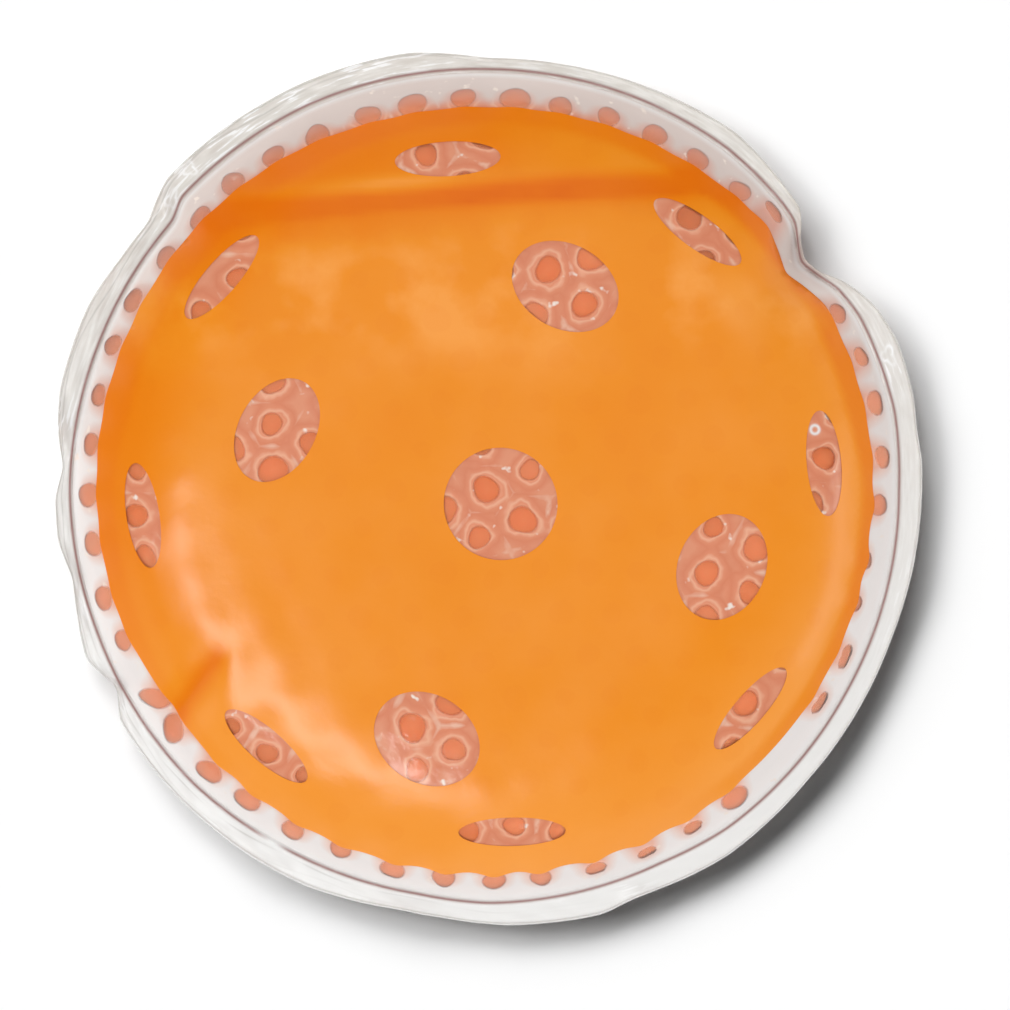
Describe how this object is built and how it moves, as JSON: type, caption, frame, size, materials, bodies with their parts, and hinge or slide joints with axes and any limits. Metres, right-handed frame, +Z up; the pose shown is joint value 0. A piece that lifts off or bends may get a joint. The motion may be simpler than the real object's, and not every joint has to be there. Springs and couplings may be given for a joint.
{
  "type": "gel bead hot and cold pack",
  "caption": "Round flexible clear pouch with a welded rim, filled with soft gel beads and printed with a holed-ball disc.",
  "frame": {"origin": "middle of the bounding box's bottom, on the surface that the pack lies on", "axes": "+Z up out of the printed face, +Y towards the top of the print, +X to its right"},
  "size_m": [0.114, 0.1142, 0.0137],
  "materials": {
    "clear_vinyl": "clear, glossy, flexible",
    "welded_vinyl": "clear, fused, slightly wrinkled",
    "orange_ink": "flat printed ink under a soft gloss",
    "salmon_gel": "wet, translucent, soft"
  },
  "bodies": {
    "root": {"back_film": "clear_vinyl", "edge_weld": "welded_vinyl", "front_film": "clear_vinyl", "ball_print": "orange_ink", "rim_beads": "salmon_gel", "shoulder_beads": "salmon_gel", "lower_beads_1": "salmon_gel", "lower_beads_2": "salmon_gel", "lower_beads_3": "salmon_gel", "lower_beads_4": "salmon_gel", "lower_beads_5": "salmon_gel", "lower_beads_6": "salmon_gel", "lower_beads_7": "salmon_gel", "upper_beads_1": "salmon_gel", "upper_beads_2": "salmon_gel", "upper_beads_3": "salmon_gel", "upper_beads_4": "salmon_gel", "upper_beads_5": "salmon_gel", "upper_beads_6": "salmon_gel", "upper_beads_7": "salmon_gel"}
  },
  "joints": []
}
